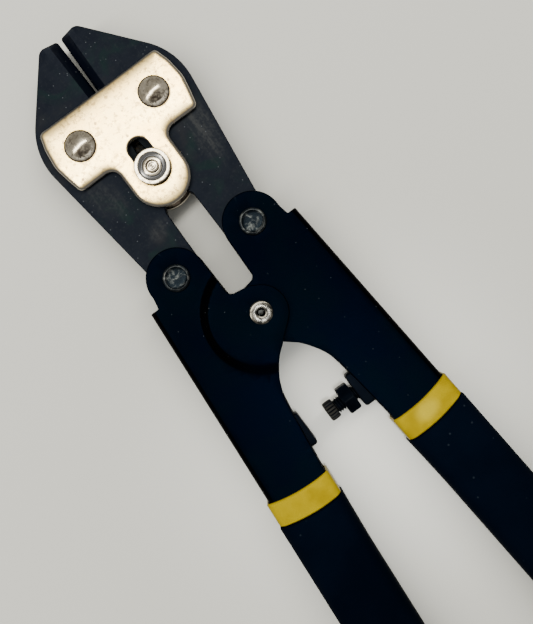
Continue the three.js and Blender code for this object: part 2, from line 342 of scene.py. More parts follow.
def from_tool(x, y):
    """The same the other way: inwards and along."""
    sin, cos = math.sin(HANDLE_ANGLE), math.cos(HANDLE_ANGLE)
    dx, dy = x - HANDLE_CORNER[0], y - HANDLE_CORNER[1]
    return -dx * cos - dy * sin, dx * sin - dy * cos


def add_piece(node, built, body, material):
    """One finished piece in place of the CAD node of the same name."""
    points, faces = built
    mesh = mesh_of(node + "_mesh", points, faces)
    piece = bpy.data.objects.new(node + "_piece", mesh)
    bpy.context.scene.collection.objects.link(piece)
    piece.data.materials.append(MATERIALS[material])
    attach(piece, body)
    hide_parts(node)
    return piece


def add_pair(name, built, body, material):
    """A piece drawn for the right side, and its twin on the left."""
    points, faces = built
    add_piece("right_" + name, built, body.format("right"), material)
    add_piece("left_" + name, (turned_over(points), faces), body.format("left"), material)


def add_front_and_rear(name, built, body, material):
    """A piece drawn for the upper side, and its twin underneath."""
    points, faces = built
    add_piece("front_" + name, built, body, material)
    add_piece("rear_" + name, (turned_over(points), faces), body, material)


# Materials.


class Surface:
    """A Principled material with a few helpers for building procedural patterns."""

    def __init__(self, name, roughness, metallic=0.0, specular=0.5, tint=(1, 1, 1)):
        self.material = bpy.data.materials.new(name)
        self.material.use_nodes = True
        self.nodes = self.material.node_tree.nodes
        self.links = self.material.node_tree.links
        self.shader = self.nodes["Principled BSDF"]
        self.shader.inputs["Roughness"].default_value = roughness
        self.shader.inputs["Metallic"].default_value = metallic
        self.shader.inputs["Specular IOR Level"].default_value = specular
        self.shader.inputs["Specular Tint"].default_value = (*tint, 1)
        self.place = self.nodes.new("ShaderNodeTexCoord").outputs["Object"]

    def to(self, socket, value):
        if isinstance(value, bpy.types.NodeSocket):
            self.links.new(value, socket)
        else:
            socket.default_value = value

    def noise(self, scale, detail=4.0, rough=0.55, stretch=None, distortion=0.0):
        place = self.place
        if stretch:
            mapping = self.nodes.new("ShaderNodeMapping")
            mapping.inputs["Scale"].default_value = stretch
            self.links.new(place, mapping.inputs["Vector"])
            place = mapping.outputs["Vector"]
        node = self.nodes.new("ShaderNodeTexNoise")
        self.links.new(place, node.inputs["Vector"])
        node.inputs["Scale"].default_value = scale
        node.inputs["Detail"].default_value = detail
        node.inputs["Roughness"].default_value = rough
        node.inputs["Distortion"].default_value = distortion
        return node.outputs["Fac"]

    def specks(self, scale, size):
        """1 inside small scattered dots, 0 elsewhere."""
        node = self.nodes.new("ShaderNodeTexVoronoi")
        self.links.new(self.place, node.inputs["Vector"])
        node.inputs["Scale"].default_value = scale
        return self.ramp(node.outputs["Distance"], size, size * 0.5)

    def ramp(self, factor, low, high, dark=None, light=None):
        """0 at low rising smoothly to 1 at high, or dark turning to light where colours are given."""
        node = self.nodes.new("ShaderNodeMapRange")
        node.interpolation_type = "SMOOTHSTEP"
        self.to(node.inputs["Value"], factor)
        node.inputs["From Min"].default_value = low
        node.inputs["From Max"].default_value = high
        if dark is None:
            return node.outputs["Result"]
        return self.mix(node.outputs["Result"], (*dark, 1), (*light, 1))

    def mix(self, factor, first, second):
        node = self.nodes.new("ShaderNodeMix")
        node.data_type = "RGBA"
        self.to(node.inputs["Factor"], factor)
        self.to(node.inputs["A"], first)
        self.to(node.inputs["B"], second)
        return node.outputs["Result"]

    def over(self, colour, mask, tint, amount=1):
        """colour with tint laid over it where mask is 1, as strongly as amount says."""
        if amount != 1:
            mask = self.math("MULTIPLY", mask, amount)
        return self.mix(mask, colour, (*tint, 1))

    def span(self, factor, low, high):
        """factor from 0 to 1 turned into low to high."""
        node = self.nodes.new("ShaderNodeMapRange")
        self.to(node.inputs["Value"], factor)
        node.inputs["To Min"].default_value = low
        node.inputs["To Max"].default_value = high
        return node.outputs["Result"]

    def math(self, operation, first, second=0):
        node = self.nodes.new("ShaderNodeMath")
        node.operation = operation
        self.to(node.inputs[0], first)
        self.to(node.inputs[1], second)
        return node.outputs["Value"]

    def painted_corner_shade(self, reach):
        """1 on open surface, falling to 0 deep in corners, where painted shade goes."""
        node = self.nodes.new("ShaderNodeAmbientOcclusion")
        node.inputs["Distance"].default_value = reach * MM
        node.samples = 8
        return self.ramp(node.outputs["AO"], 0.35, 0.92)

    def patch(self, x, y, length, width, angle):
        """1 inside a soft oval of the given size in mm, laid at an angle on both faces."""
        mapping = self.nodes.new("ShaderNodeMapping")
        mapping.vector_type = "TEXTURE"
        mapping.inputs["Location"].default_value = (x * MM, (y + ORIGIN_Y) * MM, REST_HEIGHT * MM)
        mapping.inputs["Rotation"].default_value = (0, 0, angle)
        mapping.inputs["Scale"].default_value = (length * MM, width * MM, 1)
        self.links.new(self.place, mapping.inputs["Vector"])
        size = self.nodes.new("ShaderNodeVectorMath")
        size.operation = "LENGTH"
        self.links.new(mapping.outputs["Vector"], size.inputs[0])
        return self.ramp(size.outputs["Value"], 1.0, 0.3)

    def sloping(self, level=0.95, steep=0.8):
        """0 on surfaces lying level, 1 on ones ground at a slope or standing upright."""
        node = self.nodes.new("ShaderNodeSeparateXYZ")
        self.links.new(self.nodes["Texture Coordinate"].outputs["Normal"], node.inputs["Vector"])
        return self.ramp(self.math("ABSOLUTE", node.outputs["Z"]), level, steep)

    def inward(self):
        """1 on level faces turned to the inside of the tool, 0 on the ones outside."""
        place = self.nodes.new("ShaderNodeSeparateXYZ")
        facing = self.nodes.new("ShaderNodeSeparateXYZ")
        self.links.new(self.place, place.inputs["Vector"])
        self.links.new(self.nodes["Texture Coordinate"].outputs["Normal"], facing.inputs["Vector"])
        side = self.math("SIGN", self.math("SUBTRACT", place.outputs["Z"], REST_HEIGHT * MM))
        return self.ramp(self.math("MULTIPLY", side, facing.outputs["Z"]), -0.3, -0.6)

    def inside(self, x, y, length, width):
        """1 inside a soft upright oval, but only deeper in the tool than its outer faces."""
        place = self.nodes.new("ShaderNodeSeparateXYZ")
        self.links.new(self.place, place.inputs["Vector"])
        height = self.math("SUBTRACT", place.outputs["Z"], REST_HEIGHT * MM)
        off_middle = self.math("ABSOLUTE", height)
        deep = self.ramp(off_middle, 4.5 * MM, 4.2 * MM)
        return self.math("MULTIPLY", deep, self.patch(x, y, length, width, math.pi / 2))

    def ring(self, x, y, inner, outer, soft=0.12):
        """1 in a ring around a point given in mm, 0 inside and outside it."""
        beyond = self.ramp(self.distance(x, y), (inner - soft) * MM, (inner + soft) * MM)
        return self.math("MULTIPLY", beyond, self.disc(x, y, outer, soft))

    def disc(self, x, y, radius, soft=0.12):
        """1 inside a circle around a point given in mm, 0 outside it."""
        return self.ramp(self.distance(x, y), (radius + soft) * MM, (radius - soft) * MM)

    def distance(self, x, y):
        """How far the surface is from an upright axis, in metres."""
        flat = self.nodes.new("ShaderNodeVectorMath")
        flat.operation = "MULTIPLY"
        self.links.new(self.place, flat.inputs[0])
        flat.inputs[1].default_value = (1, 1, 0)
        far = self.nodes.new("ShaderNodeVectorMath")
        far.operation = "DISTANCE"
        self.links.new(flat.outputs["Vector"], far.inputs[0])
        far.inputs[1].default_value = (x * MM, (y + ORIGIN_Y) * MM, 0)
        return far.outputs["Value"]

    def worn_edges(self, low=0.52, high=0.6):
        """1 along edges that stand out, where a finish rubs off."""
        geometry = self.nodes.new("ShaderNodeNewGeometry")
        return self.ramp(geometry.outputs["Pointiness"], low, high)

    def bump(self, *heights):
        """Chains (height, strength, distance in mm) bumps onto the normal."""
        normal = None
        for height, strength, distance in heights:
            node = self.nodes.new("ShaderNodeBump")
            node.inputs["Strength"].default_value = strength
            node.inputs["Distance"].default_value = distance * MM
            self.links.new(height, node.inputs["Height"])
            if normal is not None:
                self.links.new(normal, node.inputs["Normal"])
            normal = node.outputs["Normal"]
        self.links.new(normal, self.shader.inputs["Normal"])

    def finish(self, colour, roughness=None):
        self.to(self.shader.inputs["Base Color"], colour)
        if roughness is not None:
            self.to(self.shader.inputs["Roughness"], roughness)
        return self.material


def phosphated_steel():
    s = Surface("phosphated_steel", 0.5, specular=0.064, tint=(0.72, 0.86, 1.0))
    mottle = s.noise(210, 7, 0.7)
    cloud = s.noise(75, 4, 0.6)
    hue = s.noise(130, 3, 0.5, distortion=0.8)
    grain = s.noise(1400, 4, 0.7)
    grind = s.noise(800, 3, 0.6, stretch=(1, 0.05, 1))
    colour = s.ramp(mottle, 0.36, 0.64, (0.0001, 0.0006, 0.0034), (0.0030, 0.0040, 0.0072))
    colour = s.over(colour, s.ramp(hue, 0.5, 0.72), (0.0012, 0.0058, 0.0058))
    colour = s.over(colour, s.ramp(cloud, 0.52, 0.72), (0.0062, 0.0062, 0.0078))
    # Rubbed paler around the link plates, most on the right jaw.
    wear_and_rim_highlight = s.patch(15.5, -13, 13, 4.5, 1.45)
    for fainter in (s.patch(-14, -13, 9, 5, -1.3), s.patch(-8, -27, 4.5, 3, 0.5)):
        wear_and_rim_highlight = s.math("MAXIMUM", wear_and_rim_highlight, s.math("MULTIPLY", fainter, 0.6))
    both_grains = s.math("ADD", s.math("MULTIPLY", grind, 0.5), s.math("MULTIPLY", grain, 0.5))
    streaks = s.ramp(both_grains, 0.42, 0.62)
    colour = s.over(colour, s.math("MULTIPLY", wear_and_rim_highlight, s.span(streaks, 0.15, 0.75)), (0.028, 0.029, 0.028))
    colour = s.over(colour, s.ramp(grain, 0.52, 0.7), (0.009, 0.0102, 0.0118), 0.5)
    # Painted shade: the cutting bevels and the sides darkened where they slope.
    colour = s.over(colour, s.sloping(), (0.0001, 0.0005, 0.0028), 0.9)
    colour = s.over(colour, s.worn_edges(), (0.035, 0.04, 0.05), 0.4)
    colour = s.over(colour, s.specks(620, 0.10), (0.05, 0.055, 0.06))
    # Painted shade: nearly black where the plates' slot shows it, as the slot's inside lies in shadow.
    colour = s.over(colour, s.patch(0, -10.5, 12, 8, 1.57), (0.0001, 0.0002, 0.0004))
    s.bump((grain, 0.35, 0.03), (mottle, 0.3, 0.05), (grind, 0.15, 0.03))
    return s.finish(colour, s.span(mottle, 0.38, 0.7))


def nickel_plate():
    s = Surface("nickel_plate", 0.3, metallic=1.0)
    cloud = s.noise(110, 4, 0.5)
    fine = s.noise(900, 4, 0.65)
    pits = s.specks(260, 0.12)
    colour = s.ramp(cloud, 0.3, 0.75, (0.98, 0.69, 0.25), (1.0, 0.77, 0.34))
    flecks = s.noise(820, 4, 0.75)
    colour = s.over(colour, s.ramp(flecks, 0.5, 0.64), (0.33, 0.22, 0.09), 0.75)
    # Painted shade on the rolled edges.
    colour = s.over(colour, s.sloping(0.988, 0.82), (0.17, 0.155, 0.13))
    colour = s.over(colour, pits, (0.22, 0.15, 0.09), 0.75)
    # Painted shade in corners, where the heads stand on the plate.
    colour = s.mix(s.painted_corner_shade(1.8), (0.045, 0.03, 0.018, 1), colour)
    # Painted reflection: the steep edge walls lightened, as if lit from low down.
    colour = s.over(colour, s.sloping(0.72, 0.45), (0.85, 0.78, 0.65), 0.85)
    # Painted shade: the inner faces, which lie in shadow between the plates, darkened, with a knurled
    # texture.
    knurl = s.noise(420, 3, 0.6, stretch=(1, 0.3, 1))
    shaded_inner_face = s.ramp(knurl, 0.45, 0.6, (0.03, 0.024, 0.018), (0.14, 0.11, 0.08))
    colour = s.mix(s.inward(), colour, shaded_inner_face)
    # Painted shade, nearly black, inside the slot.
    colour = s.over(colour, s.inside(0, -10.5, 9, 5), (0.001, 0.001, 0.001))
    # Painted shadow: dark crescents beside the guide collar and the jaw rivets, on their side towards the
    # handles.
    colour = s.over(colour, s.disc(0.15, GUIDE_Y - 0.42, 4.3, 0.15), (0.006, 0.004, 0.003), 0.93)
    for x in (-JAW_PIVOT_X, JAW_PIVOT_X):
        colour = s.over(colour, s.disc(x + 0.12, -0.3, 3.88, 0.2), (0.035, 0.02, 0.014), 0.8)
    s.bump((fine, 0.2, 0.02), (cloud, 0.25, 0.12), (s.math("SUBTRACT", 1, pits), 0.4, 0.04))
    return s.finish(colour, s.span(fine, 0.22, 0.38))


def rivet_steel():
    s = Surface("rivet_steel", 0.25, metallic=1.0)
    cloud = s.noise(330, 5, 0.65, distortion=0.5)
    fine = s.noise(1500, 3, 0.6)
    stain = s.noise(1100, 4, 0.65, distortion=0.4)
    colour = s.ramp(cloud, 0.35, 0.7, (0.3, 0.26, 0.19), (0.56, 0.5, 0.39))
    colour = s.over(colour, s.ramp(stain, 0.5, 0.64), (0.10, 0.08, 0.055), 0.75)
    # The crossing rivet is duller than the rest and speckled, with painted shade in its bore.
    crossing = s.patch(0, CROSS_Y, 6, 6, 0)
    colour = s.over(colour, crossing, (0.07, 0.067, 0.057))
    speckle = s.math("MULTIPLY", crossing, s.ramp(s.noise(900, 4, 0.7), 0.42, 0.6))
    colour = s.over(colour, speckle, (0.012, 0.012, 0.011))
    colour = s.over(colour, s.disc(0, CROSS_Y, 1.02), (0.0002, 0.0002, 0.0002))
    # Painted shade in the collar's groove, and lighter painted shade on the slope up to its rim.
    colour = s.over(colour, s.ring(0, GUIDE_Y, 2.3, 2.85), (0.03, 0.031, 0.033))
    colour = s.over(colour, s.ring(0, GUIDE_Y, 2.85, 3.38), (0.17, 0.17, 0.17))
    # Painted reflections on the jaw rivets: a dark reflection on the side towards the handles, and a
    # painted highlight along their rims there.
    blotches = s.span(s.ramp(s.noise(700, 3, 0.6, distortion=0.4), 0.42, 0.56), 0.25, 0.9)
    flecks = s.ramp(fine, 0.36, 0.58)
    for x in (-JAW_PIVOT_X, JAW_PIVOT_X):
        painted_dark_reflection = s.math("MULTIPLY", s.patch(x - 0.2, -1.75, 3.1, 1.9, 0.15), blotches)
        colour = s.over(colour, painted_dark_reflection, (0.045, 0.032, 0.022))
        wear_and_rim_highlight = s.math("MULTIPLY", s.ring(x, 0, 2.75, 3.35), s.patch(x - 0.3, -3.1, 5.0, 2.8, 0))
        colour = s.over(colour, s.math("MULTIPLY", wear_and_rim_highlight, flecks), (0.95, 0.86, 0.68))
        # Painted shadow: a dark ring around each dome's rim, where it meets the plate.
        colour = s.over(colour, s.ring(x, 0, 3.6, 4.5), (0.008, 0.005, 0.004))
    # Painted shade in corners.
    colour = s.mix(s.painted_corner_shade(1.3), (0.03, 0.024, 0.018, 1), colour)
    # Painted shade: the steep walls of the heads and collars nearly black.
    colour = s.over(colour, s.sloping(0.6, 0.3), (0.006, 0.004, 0.003))
    s.bump((cloud, 0.16, 0.06), (fine, 0.1, 0.015))
    return s.finish(colour, s.span(cloud, 0.15, 0.26))


def dark_rivet():
    s = Surface("dark_rivet", 0.4, metallic=1.0)
    cloud = s.noise(520, 5, 0.65, distortion=0.6)
    fine = s.noise(1700, 3, 0.6)
    colour = s.ramp(cloud, 0.48, 0.7, (0.004, 0.006, 0.008), (0.062, 0.068, 0.066))
    colour = s.over(colour, s.worn_edges(0.51, 0.55), (0.08, 0.08, 0.075), 0.45)
    s.bump((cloud, 0.5, 0.08), (fine, 0.2, 0.02))
    return s.finish(colour, s.span(cloud, 0.3, 0.55))


def handle_paint():
    sheen = (0.05, 0.28, 0.75)
    s = Surface("handle_paint", 0.4, specular=0.017, tint=sheen)
    cloud = s.noise(70, 4, 0.5)
    peel = s.noise(900, 2, 0.5)
    colour = s.ramp(cloud, 0.35, 0.7, (0.0001, 0.0003, 0.0016), (0.0002, 0.0011, 0.0018))
    colour = s.over(colour, s.worn_edges(0.53, 0.62), (0.008, 0.010, 0.014), 0.3)
    # Painted shade on the folds and slopes, weaker in one patch below the crossing, and their reflections
    # dimmed there.
    painted_shade_on_bends = s.math("MULTIPLY", s.sloping(0.985, 0.9), s.span(s.patch(-4, -71, 15, 12, 0), 1, 0.3))
    colour = s.over(colour, painted_shade_on_bends, (0.0001, 0.0001, 0.0003))
    colour = s.over(colour, s.specks(420, 0.055), (0.03, 0.032, 0.035))
    s.to(s.shader.inputs["Specular Tint"], s.over((*sheen, 1), painted_shade_on_bends, (0.01, 0.04, 0.12)))
    s.bump((peel, 0.15, 0.03), (cloud, 0.1, 0.1))
    return s.finish(colour, s.span(cloud, 0.3, 0.5))


def band_plastic():
    s = Surface("band_plastic", 0.3, specular=0.04, tint=(1.0, 0.74, 0.0))
    cloud = s.noise(130, 4, 0.55)
    fine = s.noise(900, 3, 0.6)
    colour = s.ramp(cloud, 0.35, 0.62, (0.155, 0.109, 0.0), (0.205, 0.151, 0.0))
    # Painted highlight: a pale glare on the right band's top.
    colour = s.over(colour, s.patch(18.0, -100.5, 4.5, 3.2, 0.1), (0.33, 0.265, 0.02), 0.5)
    colour = s.over(colour, s.specks(350, 0.06), (0.12, 0.085, 0.005), 0.5)
    s.bump((fine, 0.1, 0.02), (cloud, 0.3, 0.15))
    return s.finish(colour, s.span(cloud, 0.2, 0.4))


def grip_rubber():
    s = Surface("grip_rubber", 0.85, specular=0.03, tint=(0.1, 0.4, 0.9))
    grain = s.noise(1100, 4, 0.7)
    cloud = s.noise(45, 4, 0.5)
    colour = s.ramp(cloud, 0.35, 0.7, (0.0001, 0.0005, 0.0018), (0.0004, 0.0012, 0.0032))
    dust = s.math("MULTIPLY", s.specks(260, 0.09), s.ramp(cloud, 0.4, 0.6))
    colour = s.over(colour, dust, (0.006, 0.008, 0.011))
    s.bump((grain, 0.3, 0.03), (cloud, 0.2, 0.2))
    return s.finish(colour, s.span(grain, 0.75, 0.95))


def black_oxide():
    s = Surface("black_oxide", 0.4, specular=0.016, tint=(0.3, 0.45, 0.8))
    cloud = s.noise(400, 4, 0.6)
    fine = s.noise(1600, 3, 0.6)
    colour = s.ramp(cloud, 0.35, 0.7, (0.0002, 0.0005, 0.0012), (0.0008, 0.0014, 0.0024))
    colour = s.over(colour, s.worn_edges(0.51, 0.58), (0.012, 0.013, 0.015), 0.25)
    knurl = s.math("MULTIPLY", s.patch(-1.0, -87.8, 2.6, 4.5, 0), s.worn_edges(0.5, 0.54))
    colour = s.over(colour, knurl, (0.013, 0.0125, 0.0105))
    s.bump((fine, 0.2, 0.02), (cloud, 0.2, 0.05))
    return s.finish(colour, s.span(cloud, 0.3, 0.5))


MATERIALS = {
    make.__name__: make()
    for make in (
        phosphated_steel,
        nickel_plate,
        rivet_steel,
        dark_rivet,
        handle_paint,
        band_plastic,
        grip_rubber,
        black_oxide,
    )
}


# Jaws.


def lattice(low, high, step):
    xs = np.arange(low[0], high[0], step)
    ys = np.arange(low[1], high[1], step)
    return np.stack(np.meshgrid(xs, ys), axis=-1).reshape(-1, 2)


def cutting_edge_x(y):
    heel_x, heel_y = EDGE_HEEL
    return heel_x + (y - heel_y) * EDGE_SLANT


def jaw():
    body = outline(
        [
            (0.56, JAW_TIP_Y, 0.6),
            EDGE_HEEL,
            (0.2, 0.2),
            (1.35, -11.25, 0.3),
            (4.2, GUIDE_Y + 3.2, 2),
            (4.2, GUIDE_Y - 3.2, 1.4),
            (2.3, GUIDE_Y - 3.2, 0.3),
            (2.35, -21.4, 1),
            (4.1, -24.8, 1),
            (4.4, -45.8, 3.5),
            (15.15, -45.2, 5),
            (21.7, 5.4, 17),
            (5.48, JAW_TIP_Y, 2.4),
        ]
    )
    loops = [counter_clockwise(body), circle(JAW_PIVOT_X, 0, JAW_BORE), circle(*EAR, EAR_BORE)]

    def place(x, y, depth):
        from_edge = np.maximum(x - cutting_edge_x(y), 0)
        slope = (JAW_HALF - EDGE_LAND) / EDGE_BEVEL
        limit = np.where(y > EDGE_HEEL[1], EDGE_LAND + slope * from_edge, JAW_HALF)
        height = np.clip(JAW_HALF - depth, -limit, limit)
        return np.column_stack([x, y, height])

    edge_y = np.arange(1.6, JAW_TIP_Y - 0.3, 0.4)
    crease = np.column_stack([cutting_edge_x(edge_y) + EDGE_BEVEL, edge_y])
    inner = np.vstack([crease, lattice((0, -46), (21, 24), 2.2)])
    return slab(loops, 2 * JAW_HALF, (0.22, 0.15, 0.15), place, inner)


add_pair("jaw", jaw(), "{}_jaw", "phosphated_steel")


# Link plates, rivets and guide.


def link_plate():
    rim_droop, droop_reach = 0.5, 1.2
    right = [
        (17.3, 8.3, 1.5),
        (18.5, 4.4, 9),
        (19.1, -0.7, 9),
        (18.3, -5, 9),
        (17.4, -8.9, 1.5),
        (7.5, -8.9, 2.6),
        (7.45, -24.45, 7.4),
    ]
    left = [(-x, y, radius) for x, y, radius in reversed(right)]
    slot = outline([(2.75, -6.2, 2.7), (2.75, -18.35, 2.7), (-2.75, -18.35, 2.7), (-2.75, -6.2, 2.7)])
    edge = counter_clockwise(outline(right + left))
    rim = spaced(edge, 0.5)
    loops = [
        edge,
        circle(JAW_PIVOT_X, 0, 2.95),
        circle(-JAW_PIVOT_X, 0, 2.95),
        counter_clockwise(slot)[::-1],
    ]

    def place(x, y, depth):
        from_rim = np.hypot(x[:, None] - rim[:, 0], y[:, None] - rim[:, 1]).min(axis=1)
        droop = rim_droop * np.exp(-from_rim / droop_reach) * np.clip(1 - depth, 0, 1)
        return np.column_stack([x, y, LINK_Z + LINK_THICKNESS - depth - droop])

    inner = lattice((-19, -25), (19, 9), 0.7)
    return slab(loops, LINK_THICKNESS, (1.05, 0.2, 0.2, 0.5), place, inner, rounds=7)


def jaw_rivet():
    seat = LINK_Z + LINK_THICKNESS + 0.05
    dome_curve = 0.112
    dome = [(r, REST_HEIGHT - dome_curve * r * r) for r in np.linspace(0, 3.75, 20)]
    upper = dome + [(3.87, 4.98), (3.9, seat), (2.7, seat)]
    return lathe(two_ended(upper), JAW_PIVOT_X, 0, wobble=0.03)


def guide_pin():
    seat = LINK_Z + LINK_THICKNESS + 0.1
    upper = [(0, 6.18), (0.15, 6.2), (0.3, 6.28), (0.45, 6.34), (0.7, 6.33), (0.8, 6.28), (0.9, 6.33)]
    upper += [(1.15, 6.32), (1.3, 6.25), (1.39, 6.12), (1.4, seat), (GUIDE_RADIUS, seat)]
    return lathe(two_ended(upper), 0, GUIDE_Y)


def guide_collar():
    seat = LINK_Z + LINK_THICKNESS + 0.15
    profile = [(1.55, seat), (3.6, seat), (3.75, seat + 0.1), (3.75, 5.5), (4.2, 5.62), (4.4, 5.75)]
    profile += rounded((4.4, 6.12), (4.18, 6.35), (4.4, 6.35))
    profile += rounded((3.6, 6.35), (3.38, 6.22), (3.42, 6.35))
    profile += [(3.3, 6.14), (3.0, 6.0), (2.7, 5.93), (2.45, 5.92), (2.3, 6.0)]
    profile += [(2.15, 6.07), (1.7, 6.09), (1.57, 6.0), (1.55, seat)]
    return lathe(profile, 0, GUIDE_Y, segments=96)


add_front_and_rear("link_plate", link_plate(), "head", "nickel_plate")
add_pair("jaw_rivet", jaw_rivet(), "head", "rivet_steel")
add_piece("guide_pin", guide_pin(), "guide", "rivet_steel")
add_front_and_rear("guide_collar", guide_collar(), "guide", "rivet_steel")


# Handle frames: one folded blank, in inwards and along co-ordinates. The upper flange lies on the
# positive side of the fold, and the web and the lower flange unroll past it.

WEB = math.pi * FOLD_RADIUS + 2 * (FLANGE_OUT - FOLD_RADIUS)
WEB_MIDDLE = FOLD_RADIUS - WEB / 2


def spline(points, parts=8):
    """A smooth run through the points, as Catmull-Rom curves."""
    points = np.array(points, float)
    padded = np.vstack([2 * points[0] - points[1], points, 2 * points[-1] - points[-2]])
    runs = []
    for a, b, c, d in zip(padded, padded[1:], padded[2:], padded[3:]):
        t = np.arange(parts)[:, None] / parts
        curve = 2 * b + (c - a) * t + (2 * a - 5 * b + 4 * c - d) * t**2 + (3 * b - a - 3 * c + d) * t**3
        runs.append(curve / 2)
    return np.vstack(runs + [points[-1:]])


def flange_edge():
    """The free edge of the upper flange, from the fold's start round to the handle's tail."""
    ear_x, ear_y = EAR
    notch = np.array([on_handle(1.5, 0), on_handle(2.35, -0.1), on_handle(2.5, -1.0)])
    ear = arc(ear_x, ear_y, EAR_RADIUS, math.radians(-4), math.radians(184))
    corner = fillet(np.array([3.95, -40.0]), np.array([3.72, -50.3]), np.array([0.0, -50.85]), 1.7)
    shoulder = np.array([[-0.9, -51.0], [-1.8, -51.25], [-2.7, -51.85]])
    tongue = arc(0, CROSS_Y, TONGUE_RADIUS, math.radians(115), math.radians(115.5))
    crotch = spline([(0, -66.8), (3, -69.4), (5, -72), (6.5, -74.6), (7.6, -77.6), (8.3, -81.6)])
    tool = np.vstack([ear, corner, shoulder, tongue, crotch])
    local = np.column_stack(from_tool(*tool.T))
    tail = np.array([[HANDLE_WIDTH, 52.8], [HANDLE_WIDTH, HANDLE_LENGTH]])
    start = np.column_stack(from_tool(*notch.T))
    return np.vstack([start, local, tail])


def folded(x, y, depth):
    """Where a point of the blank lies once folded, the lower flange joggled outwards."""
    mirrored = x < WEB_MIDDLE
    inward = np.where(mirrored, 2 * WEB_MIDDLE - x, x)
    flat = inward >= FOLD_RADIUS
    angle = np.clip((FOLD_RADIUS - inward) / FOLD_RADIUS, 0, math.pi / 2)
    down = np.maximum(FOLD_RADIUS - inward - FOLD_RADIUS * math.pi / 2, 0)
    bend_inward = FOLD_RADIUS - (FOLD_RADIUS - depth) * np.sin(angle)
    bend_z = FLANGE_OUT - FOLD_RADIUS + (FOLD_RADIUS - depth) * np.cos(angle) - down
    inward = np.where(flat, inward, bend_inward)
    height = np.where(flat, FLANGE_OUT - depth, bend_z)
    tool_x, tool_y = on_handle(inward, y)
    reach = np.hypot(tool_x, tool_y - CROSS_Y)
    share = np.clip((JOGGLE[1] - reach) / (JOGGLE[1] - JOGGLE[0]), 0, 1)
    lift = TONGUE_LIFT * share * share * (3 - 2 * share)
    height = np.where(mirrored, -height - np.where(flat, lift, 0), height)
    return np.column_stack([tool_x, tool_y, height])


def mirrored_blank(points):
    return points * [-1, 1] + [2 * WEB_MIDDLE, 0]


def frame_blank(crossing_hole):
    edge = flange_edge()
    edge = np.vstack([edge, mirrored_blank(edge)[::-1]])
    ear = np.array(from_tool(*EAR))
    crossing = np.array(from_tool(0, CROSS_Y))
    holes = []
    for centre, radius in ((ear, 2.55), (crossing, crossing_hole)):
        holes.append(circle(*centre, radius))
        holes.append(circle(*mirrored_blank(centre), radius))
    return [counter_clockwise(spaced(edge, 1.2))] + holes


def handle_frame(crossing_hole):
    loops = frame_blank(crossing_hole)
    fold = np.linspace(FOLD_RADIUS, FOLD_RADIUS - math.pi / 2 * FOLD_RADIUS, 8)
    columns = np.concatenate([fold, [0.5 * (fold[-1] + WEB_MIDDLE), WEB_MIDDLE]])
    rows = np.arange(0.8, HANDLE_LENGTH, 2.0)
    bends = np.stack(np.meshgrid(columns, rows), axis=-1).reshape(-1, 2)
    radii = np.linspace(JOGGLE[0] - 0.4, JOGGLE[1] + 0.4, 11)
    rings = [arc(0, CROSS_Y, radius, 0, 2 * math.pi)[::3] for radius in radii]
    joggle = np.column_stack(from_tool(*np.vstack(rings).T))
    plain = lattice((FOLD_RADIUS + 0.6, -12), (22, HANDLE_LENGTH), 2.6)
    reach = np.hypot(*(plain - from_tool(0, CROSS_Y)).T)
    plain = plain[(reach < JOGGLE[0] - 0.8) | (reach > JOGGLE[1] + 0.9)]
    upper = np.vstack([bends, joggle, plain])
    inner = np.vstack([upper, mirrored_blank(upper[upper[:, 0] > WEB_MIDDLE + 0.01])])
    return slab(loops, SHEET, [0.25] + [0.12] * 4, folded, inner, rounds=3)


def ear_rivet():
    seat = FLANGE_OUT + 0.05
    upper = [(0, 4.88), (1.2, 4.86), (2.0, 4.86), (2.35, 4.92), (2.6, 5.05)]
    upper += rounded((2.75, 5.15), (3.3, 4.85), (3.2, 5.15)) + [(3.3, seat), (2.3, seat)]
    return lathe(two_ended(upper), *EAR, wobble=0.05)


def crossing_rivet():
    seat = FLANGE_OUT + TONGUE_LIFT + 0.05
    upper = [(0.75, 6.3), (0.8, 6.38), (0.95, 6.46), (1.3, 6.52), (1.8, 6.54)]
    upper += rounded((2.4, 6.5), (2.85, 6.3), (2.82, 6.46)) + [(2.85, seat), (2.2, seat)]
    profile = two_ended(upper)
    return lathe(profile + profile[:1], 0, CROSS_Y)


add_piece("right_handle_frame", handle_frame(2.65), "right_handle", "handle_paint")
frame_points, frame_faces = handle_frame(2.4)
add_piece("left_handle_frame", (turned_over(frame_points), frame_faces), "left_handle", "handle_paint")
add_pair("ear_rivet", ear_rivet(), "{}_jaw", "dark_rivet")
add_piece("crossing_rivet", crossing_rivet(), "left_handle", "rivet_steel")


# The stop: blocks, screw and nut. These are drawn about the screw's axis and laid along X.


def along_x(points, x=0.0):
    """Turns a piece drawn about the vertical axis so that its axis runs along X from x."""
    px, py, pz = np.asarray(points, float).T
    return np.column_stack([pz + x, py + STOP_Y, -px])


def block(face, hole_radius=None):
    """A stop block from its face out to the web, the two ends of the face set back a little."""
    half_depth, half_width, middle = 2.5, 4.65, 0.45
    corner_radius, bow = 0.8, 0.45
    low, high = middle - half_width, middle + half_width
    corners = [(-half_depth, low), (half_depth, low), (half_depth, high), (-half_depth, high)]
    loops = [counter_clockwise(outline([(*corner, corner_radius) for corner in corners]))]
    if hole_radius:
        loops.append(circle(0, 0, hole_radius))
    length = BLOCK_END - face

    def place(x, y, depth):
        from_end = half_width - np.abs(y - middle)
        corner = np.clip(1 - from_end / corner_radius, 0, 1)
        bowed = depth + bow * corner**2 * (1 - depth / length)
        return along_x(np.column_stack([x, y, bowed]), face)

    return slab(loops, length, (0.3, 0.05), place)


